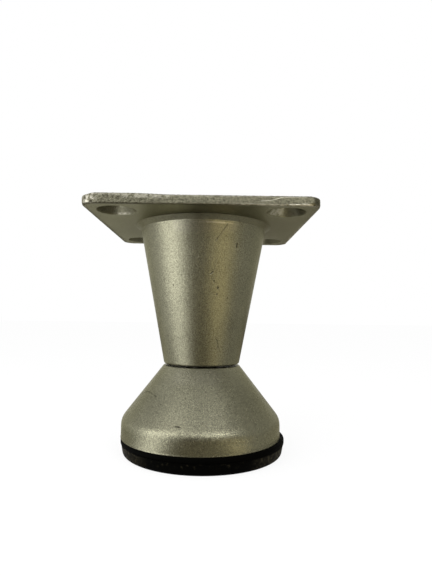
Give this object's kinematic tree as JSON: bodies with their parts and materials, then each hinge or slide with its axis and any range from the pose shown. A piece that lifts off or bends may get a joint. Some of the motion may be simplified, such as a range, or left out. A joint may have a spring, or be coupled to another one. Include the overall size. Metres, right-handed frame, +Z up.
{
  "type": "conical furniture leg",
  "caption": "Short adjustable furniture leg: square screw plate over an inverted metal cone, with a flared screw-in foot on a black glide pad.",
  "frame": {"origin": "centre of the glide pad's underside, on the floor", "axes": "+Z up along the leg's axis towards the mounting plate, X and Y along the plate's sides, the picture's side at -Y"},
  "size_m": [0.05, 0.05, 0.0583],
  "materials": {
    "satin_casting": "satin champagne silver with a fine metallic grain",
    "plated_steel": "bright zinc-plated thread",
    "black_rubber": "matt black, a little dusty"
  },
  "bodies": {
    "leg": {"leg_body": "satin_casting"},
    "glide": {"glide_pad": "black_rubber"},
    "foot": {"foot_shell": "satin_casting", "adjuster_bolt": "plated_steel"}
  },
  "joints": [
    {"name": "foot_height", "type": "slide", "parent": "leg", "child": "glide", "axis": [0, 0, -1], "range_m": [0, 0.01]},
    {"name": "foot_turn", "type": "hinge", "parent": "glide", "child": "foot", "pos_m": [0, 0, 0], "axis": [0, 0, -1], "range_deg": [0, 2880]}
  ],
  "couplings": [
    {"joint": "foot_turn", "follows": "foot_height", "rad_per_m": 5026.5}
  ]
}
